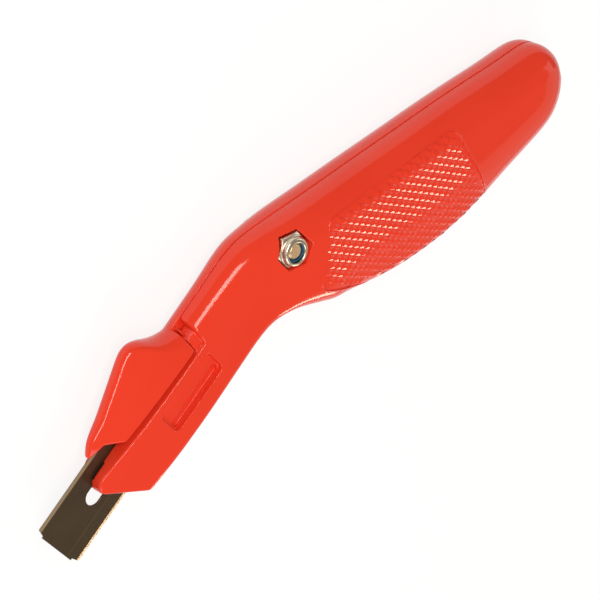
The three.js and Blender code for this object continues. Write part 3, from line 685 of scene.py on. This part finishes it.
# Blades: stamped from hard strip, tempered dark brown, ground bright along both long edges, with a
# slot that drops over the posts. One is in the jaw and five spares lie stacked in the handle.
BLADE_LENGTH, BLADE_WIDTH, BLADE_THICKNESS = 57.15, 19.05, 0.64
GRIND, EDGE = 1.0, 0.12
SLOT_LENGTH, SLOT_WIDTH = 27.65, 5.3
TAB, TAB_SHOULDER = 1.2, 2.8
SPARES, SPARE_PITCH, SPARE_REST = 5, 0.74, 0.1
SOFTENED = 0.04


def blade_steel():
    """Dark tempered steel with fine rolling marks, bright where the edges are ground."""
    coat = Coat("blade_steel")
    across = coat.node("ShaderNodeAttribute", {"attribute_name": "across"}, out="Fac")
    along = coat.node("ShaderNodeAttribute", {"attribute_name": "along"}, out="Fac")
    out = coat.node("ShaderNodeMath", {"operation": "ABSOLUTE"}, {0: across})
    bevel = BLADE_WIDTH / 2 - GRIND
    ground = coat.node("ShaderNodeMapRange", {},
                       {"Value": out, "From Min": bevel - 0.06, "From Max": bevel + 0.06})
    place = coat.node("ShaderNodeCombineXYZ", {}, {"X": along * 0.05, "Y": across})
    rolled = coat.node("ShaderNodeTexNoise", {}, {"Vector": place, "Scale": 9.0, "Detail": 4.0})
    place = coat.node("ShaderNodeCombineXYZ", {}, {"X": along * 4.0, "Y": across * 0.2})
    hone = coat.node("ShaderNodeTexNoise", {}, {"Vector": place, "Scale": 3.0, "Detail": 3.0})
    stain = coat.noise(90, 4)
    from_score = coat.node("ShaderNodeMath", {"operation": "ABSOLUTE"}, {0: across + BLADE_WIDTH / 4})
    score = coat.node("ShaderNodeMapRange", {},
                      {"Value": from_score, "From Min": 0.12, "From Max": 0.05})
    temper = coat.mixed(stain * 0.7 + rolled * 0.3, (0.060, 0.040, 0.022, 1), (0.120, 0.082, 0.047, 1))
    bright = coat.mixed(hone, (0.50, 0.36, 0.22, 1), (0.70, 0.51, 0.33, 1))
    coat.fill(coat.shader, {
        "Base Color": coat.mixed(ground + 0.3 * score * stain, temper, bright),
        "Metallic": 0.75 + 0.2 * ground,
        "Roughness": 0.34 + 0.16 * rolled,
        "Normal": coat.bump(rolled * 0.6 + hone * ground * 0.4, 0.12, 0.0002),
    })
    return coat.material


def blade_mesh(name):
    """The blade flat on its own middle, in millimetres, with its own length and width kept on it."""
    front, half, tab = BLADE_LENGTH / 2, BLADE_WIDTH / 2, BLADE_WIDTH / 2 - TAB_SHOULDER
    quarter = [(front, tab), (front - TAB / 2, tab), (front - TAB, half)]
    rim = quarter + [(-x, y) for x, y in quarter[::-1]]
    rim += [(x, -y) for x, y in rim[::-1]]
    reach = (SLOT_LENGTH - SLOT_WIDTH) / 2
    slot = []
    for middle, first in ((reach, -90), (-reach, 90)):
        for k in range(25):
            turn = math.radians(first + 7.5 * k)
            slot.append((middle + SLOT_WIDTH / 2 * math.cos(turn), SLOT_WIDTH / 2 * math.sin(turn)))
    outline = bpy.data.curves.new(name, "CURVE")
    outline.dimensions = "2D"
    outline.fill_mode = "BOTH"
    outline.extrude = BLADE_THICKNESS
    for ring in (rim, slot):
        spline = outline.splines.new("POLY")
        spline.points.add(len(ring) - 1)
        spline.points.foreach_set("co", [v for x, y in ring for v in (x, y, 0, 1)])
        spline.use_cyclic_u = True
    stamped = bpy.data.objects.new(name, outline)
    scene.collection.objects.link(stamped)
    flat = bpy.data.meshes.new_from_object(stamped.evaluated_get(bpy.context.evaluated_depsgraph_get()))
    bpy.data.objects.remove(stamped)
    t, e = BLADE_THICKNESS / 2, EDGE / 2
    section = [(-half, -e), (-half + GRIND, -t), (half - GRIND, -t), (half, -e),
               (half, e), (half - GRIND, t), (-half + GRIND, t), (-half, e)]
    ends = [(x, y, z) for x in (-front - 1, front + 1) for y, z in section]
    faces = [tuple(range(7, -1, -1)), tuple(range(8, 16))]
    faces += [(k, (k + 1) % 8, 8 + (k + 1) % 8, 8 + k) for k in range(8)]
    strip = bpy.data.meshes.new(name + "_strip")
    strip.from_pydata(ends, [], faces)
    pieces = []
    for mesh in (flat, strip):
        welded = bmesh.new()
        welded.from_mesh(mesh)
        bmesh.ops.remove_doubles(welded, verts=welded.verts, dist=1e-4)
        bmesh.ops.recalc_face_normals(welded, faces=welded.faces)
        welded.to_mesh(mesh)
        welded.free()
        solid = bpy.data.objects.new(mesh.name, mesh)
        scene.collection.objects.link(solid)
        pieces.append(solid)
    grind = pieces[0].modifiers.new("grind", "BOOLEAN")
    grind.operation, grind.object, grind.solver = "INTERSECT", pieces[1], "EXACT"
    soften = pieces[0].modifiers.new("soften", "BEVEL")
    soften.width, soften.segments, soften.limit_method = SOFTENED, 1, "ANGLE"
    ready = bpy.data.meshes.new_from_object(pieces[0].evaluated_get(bpy.context.evaluated_depsgraph_get()))
    for solid in pieces:
        bpy.data.objects.remove(solid)
    place = np.empty(len(ready.vertices) * 3)
    ready.vertices.foreach_get("co", place)
    place = place.reshape(-1, 3)
    for key, axis in (("along", 0), ("across", 1)):
        ready.attributes.new(key, "FLOAT", "POINT").data.foreach_set("value", place[:, axis].copy())
    ready.materials.clear()
    ready.materials.append(steel)
    return ready


def blade_piece(name, node, pattern, middle, turn):
    """A copy of the blade, turned about its middle and set in its place."""
    mesh = pattern.copy()
    mesh.name = name
    place = np.empty(len(mesh.vertices) * 3)
    mesh.vertices.foreach_get("co", place)
    place = place.reshape(-1, 3)
    c, s = math.cos(turn), math.sin(turn)
    spot = place @ np.array([[c, s, 0], [-s, c, 0], [0, 0, 1]]) + np.array(middle)
    mesh.vertices.foreach_set("co", (spot * MM + pivot).ravel())
    mesh.update()
    piece = bpy.data.objects.new(name, mesh)
    scene.collection.objects.link(piece)
    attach(piece, "left_half")
    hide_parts(node)


steel = blade_steel()
blade_pattern = blade_mesh("blade_pattern")
blade_piece("jaw_blade", "blade", blade_pattern, (BLADE_REAR - BLADE_LENGTH / 2, BLADE_RISE, 0), 0)
for number in range(SPARES):
    height = SPARE_BED + SPARE_REST + BLADE_THICKNESS / 2 + number * SPARE_PITCH
    blade_piece(f"bay_blade_{number + 1}", f"spare_blade_{number + 1}", blade_pattern,
                (*grip_point(SPARE_PLACE, -SPARE_DROP), height), -GRIP_ANGLE)

# Lock nut and its ring: a zinc-plated hexagon nut with a rolled collar over a blue nylon ring that
# grips the bolt's thread. The nut sits in the hexagon sunk into the right half.
NUT_FLATS, NUT_LOW, NUT_TOP, NUT_HEX_HEIGHT = 9.525, 4.5, 10.8, 4.6
COLLAR_RADIUS, COLLAR_LOW, COLLAR_ROLL = 4.22, 6.0, 0.75
MOUTH_SHIFT, MOUTH_RADIUS, MOUTH_FLOOR, MOUTH_ROLL = (0.24, 0.27), 2.95, 8.9, 0.45
RING_INNER, RING_OUTER, RING_LOW, RING_HIGH, RING_GAP = 2.6, 3.12, 9.0, 10.1, 0.01


def plated_steel(name, dull, bright, metal):
    """Zinc plating with a soft, slightly clouded shine, paler or yellower by its passivation."""
    coat = Coat(name)
    cloud = coat.noise(260, 3)
    fine = coat.noise(2600, 2)
    coat.fill(coat.shader, {
        "Base Color": coat.mixed(cloud, dull, bright),
        "Metallic": metal,
        "Roughness": 0.2 + 0.16 * cloud,
        "Normal": coat.bump(fine, 0.08, 0.0001),
    })
    return coat.material


def nylon_blue():
    """Dyed nylon, faintly mottled, with a soft sheen."""
    coat = Coat("nylon_blue")
    mottle = coat.noise(500, 2)
    coat.fill(coat.shader, {
        "Base Color": coat.mixed(mottle, (0.006, 0.06, 0.14, 1), (0.015, 0.11, 0.22, 1)),
        "Roughness": 0.32 + 0.1 * mottle,
    })
    return coat.material


def lock_nut(x, y, z):
    """A hexagon with coned corners under a rolled collar, whose mouth was rolled a little off centre."""
    r = np.hypot(x, y)
    flats = hexagon_reach(x, y) - NUT_FLATS / 2
    from_middle = np.abs(z - (NUT_LOW + NUT_LOW + NUT_HEX_HEIGHT) / 2)
    cone = (r - NUT_FLATS / 2) * 0.5 + from_middle * HEX_WAY - NUT_HEX_HEIGHT / 2 * HEX_WAY
    hexagon = shared(shared(flats, cone, 0.15), from_middle - NUT_HEX_HEIGHT / 2, 0.15)
    collar_end = np.abs(z - (COLLAR_LOW + NUT_TOP) / 2) - (NUT_TOP - COLLAR_LOW) / 2
    collar = shared(r - COLLAR_RADIUS, collar_end, COLLAR_ROLL)
    nut = joined(hexagon, collar, 0.35)
    mouth = np.hypot(x + MOUTH_SHIFT[0], y + MOUTH_SHIFT[1]) - MOUTH_RADIUS
    nut = cut(nut, np.maximum(mouth, MOUTH_FLOOR - z), MOUTH_ROLL)
    return np.maximum(nut, RING_INNER + RING_GAP - r)


def nylon_ring(x, y, z):
    """A plain ring with softened edges."""
    r = np.hypot(x, y)
    return shared(np.abs(r - (RING_INNER + RING_OUTER) / 2) - (RING_OUTER - RING_INNER) / 2,
                  np.abs(z - (RING_LOW + RING_HIGH) / 2) - (RING_HIGH - RING_LOW) / 2, 0.2)


plating = plated_steel("pale_plating", (0.66, 0.56, 0.42, 1), (0.84, 0.76, 0.62, 1), 1.0)
nut = piece_of("nut", lock_nut, (-5.7, -5.7, 4.3), (5.7, 5.7, 11), 0.13, plating)
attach(nut, "right_half")
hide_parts("lock_nut")
ring = piece_of("nut_ring", nylon_ring, (-3.3, -3.3, 8.9), (3.3, 3.3, 10.3), 0.09, nylon_blue())
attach(ring, "right_half")
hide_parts("lock_nut_insert")

# Pivot bolt and washers: a plated machine screw with a low round head and a cross recess, on a cone
# washer that keeps the swing stiff, and a flat washer between the two bosses.
BOLT_RADIUS, BOLT_END, END_CHAMFER = 2.415, 10.1, 0.6
HEAD_TOP, HEAD_UNDER, HEAD_RADIUS, HEAD_DOME = -10.7, -7.7, 4.7, 7.5
CROSS_REACH, CROSS_HALF, CROSS_TAPER, CROSS_DEPTH = 2.9, 0.6, 0.25, 1.4
THREAD_PITCH, THREAD_DEPTH, THREAD_START, THREAD_RUNOUT = 0.794, 0.45, 3.2, 1.5
ROOT_SHARE, FLANK_SHARE = 0.15, 0.7


def pivot_bolt(x, y, z):
    """A low domed head with a cross recess, and a shank that is threaded to its end."""
    r = np.hypot(x, y)
    dome = np.hypot(r, z - (HEAD_TOP + HEAD_DOME)) - HEAD_DOME
    head = shared(shared(r - HEAD_RADIUS, dome, 0.6), z - HEAD_UNDER, 0.15)
    arms = np.minimum(shared(np.abs(x) - CROSS_REACH, np.abs(y) - CROSS_HALF, 0.1),
                      shared(np.abs(y) - CROSS_REACH, np.abs(x) - CROSS_HALF, 0.1))
    recess = np.maximum(arms + (z - HEAD_TOP) * CROSS_TAPER, z - HEAD_TOP - CROSS_DEPTH)
    head = cut(head, recess, 0.12)
    turn = (z / THREAD_PITCH - np.arctan2(y, x) / (2 * math.pi)) % 1
    ridge = np.clip((0.5 - np.abs(turn - 0.5)) * 2 - ROOT_SHARE, 0, FLANK_SHARE) / FLANK_SHARE
    threaded = np.clip((z - THREAD_START) / THREAD_RUNOUT, 0, 1)
    shank = r - BOLT_RADIUS + THREAD_DEPTH * threaded * (1 - ridge)
    chamfer = (r + z - BOLT_END - BOLT_RADIUS + END_CHAMFER) * 0.707
    shank = shared(np.maximum(shank, chamfer), z - BOLT_END, 0.1)
    return joined(head, np.maximum(shank, HEAD_UNDER - 0.5 - z), 0.25)


def spring_steel():
    """Plain spring steel with fine turning marks."""
    coat = Coat("spring_steel")
    marks = coat.noise(1800, 3, (1, 1, 0.2))
    coat.fill(coat.shader, {
        "Base Color": coat.mixed(marks, (0.34, 0.34, 0.33, 1), (0.52, 0.52, 0.50, 1)),
        "Metallic": 1.0,
        "Roughness": 0.3 + 0.15 * marks,
    })
    return coat.material


FLAT_RADIUS, FLAT_HALF = 7.0, 0.4
CONE_RADIUS, CONE_HALF, CONE_LEVEL, CONE_RISE, CONE_LEAN = 4.5, 0.24, -7.35, 0.28, 0.963


def washer_rim(r, radius):
    """Distance to a washer's outer and inner edge, seen along the bolt."""
    return np.abs(r - (radius + BORE_RADIUS) / 2) - (radius - BORE_RADIUS) / 2


def flat_washer(x, y, z):
    """The flat washer between the bosses."""
    return shared(washer_rim(np.hypot(x, y), FLAT_RADIUS), np.abs(z) - FLAT_HALF, 0.12)


def cone_washer(x, y, z):
    """The cone washer under the bolt's head."""
    r = np.hypot(x, y)
    middle = CONE_LEVEL + (r - BORE_RADIUS) * CONE_RISE
    return shared(washer_rim(r, CONE_RADIUS), np.abs(z - middle) * CONE_LEAN - CONE_HALF, 0.1)


spring = spring_steel()
bolt_plating = plated_steel("yellow_plating", (0.70, 0.46, 0.25, 1), (0.82, 0.58, 0.34, 1), 0.5)
bolt = piece_of("bolt", pivot_bolt, (-4.9, -4.9, -10.9), (4.9, 4.9, 10.3), 0.14, bolt_plating)
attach(bolt, "right_half")
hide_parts("pivot_bolt")
flat = piece_of("boss_washer", flat_washer, (-7.2, -7.2, -0.6), (7.2, 7.2, 0.6), 0.16, spring)
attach(flat, "left_half")
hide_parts("thrust_washer")
cone = piece_of("head_washer", cone_washer, (-4.7, -4.7, -7.8), (4.7, 4.7, -6.4), 0.12, spring)
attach(cone, "left_half")
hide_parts("spring_washer")

# Studio: a wide white table under the knife in an even, warm, pale room. A long strip over the thumb
# side is the key, panels at the blade's side and at the tail fill in, a small warm box behind the
# belly makes the glints of the checkering, and a wide low panel lights the belly.
FLOOR_SIZE, FLOOR_GAP = 6.0, 0.0002
TABLE_GLOW, TABLE_GLOW_SHARE = 1.06, 0.8
ROOM_TINT, ROOM_STRENGTH = (1.0, 0.94, 0.86, 1), 0.27
floor_mesh = bpy.data.meshes.new("floor")
corner = FLOOR_SIZE / 2
floor_mesh.from_pydata(
    [(-corner, -corner, 0), (corner, -corner, 0), (corner, corner, 0), (-corner, corner, 0)],
    [], [(0, 1, 2, 3)])
floor = bpy.data.objects.new("floor", floor_mesh)
floor.location.z = -FLOOR_GAP
scene.collection.objects.link(floor)
table = Coat("white_table")
table.fill(table.shader, {"Base Color": (0.86, 0.86, 0.86, 1), "Roughness": 0.9})
path = table.tree.nodes.new("ShaderNodeLightPath").outputs
seen = (Wire(table, path["Is Camera Ray"]) + Wire(table, path["Is Glossy Ray"])
        + Wire(table, path["Is Transmission Ray"]))
glow = table.node("ShaderNodeEmission", {}, {"Color": (1, 1, 1, 1), "Strength": TABLE_GLOW})
painted = Wire(table, table.shader.outputs[0])
both = table.node("ShaderNodeMixShader", {},
                  {0: TABLE_GLOW_SHARE * (seen > 0.5), 1: painted, 2: glow})
table.tree.links.new(both.socket, table.tree.nodes["Material Output"].inputs["Surface"])
floor_mesh.materials.append(table.material)

room = bpy.data.worlds.new("pale_room")
scene.world = room
room.use_nodes = True
room.node_tree.nodes["Background"].inputs["Color"].default_value = ROOM_TINT
room.node_tree.nodes["Background"].inputs["Strength"].default_value = ROOM_STRENGTH


def soft_box(name, way, distance, size, power, tint=(1, 1, 1), roll=0.0):
    """A soft light of a width and height, off in one direction from the knife and facing it."""
    lamp = bpy.data.lights.new(name, "AREA")
    lamp.shape, lamp.size, lamp.size_y = "RECTANGLE", *size
    lamp.energy, lamp.color = power, tint
    light = bpy.data.objects.new(name, lamp)
    back = Vector(way).normalized()
    light.location = back * distance
    rolled = back.to_track_quat("Z", "Y") @ Quaternion((0, 0, 1), math.radians(roll))
    light.rotation_euler = rolled.to_euler()
    scene.collection.objects.link(light)


soft_box("key_strip", (-0.14, 0.62, 0.77), 1.0, (0.8, 0.22), 6.6, (1, 0.95, 0.88), 18)
soft_box("side_panel", (-0.7, -0.35, 0.62), 1.0, (0.6, 0.6), 3.0)
soft_box("rear_panel", (0.75, -0.35, 0.58), 1.0, (0.6, 0.4), 0.9)
soft_box("glint_box", (-0.165, -0.95, 0.25), 1.0, (0.22, 0.2), 1.5, (1, 0.86, 0.66))
soft_box("belly_panel", (0.25, -0.9, 0.33), 1.1, (1.6, 0.6), 1.2, (1, 0.9, 0.76))
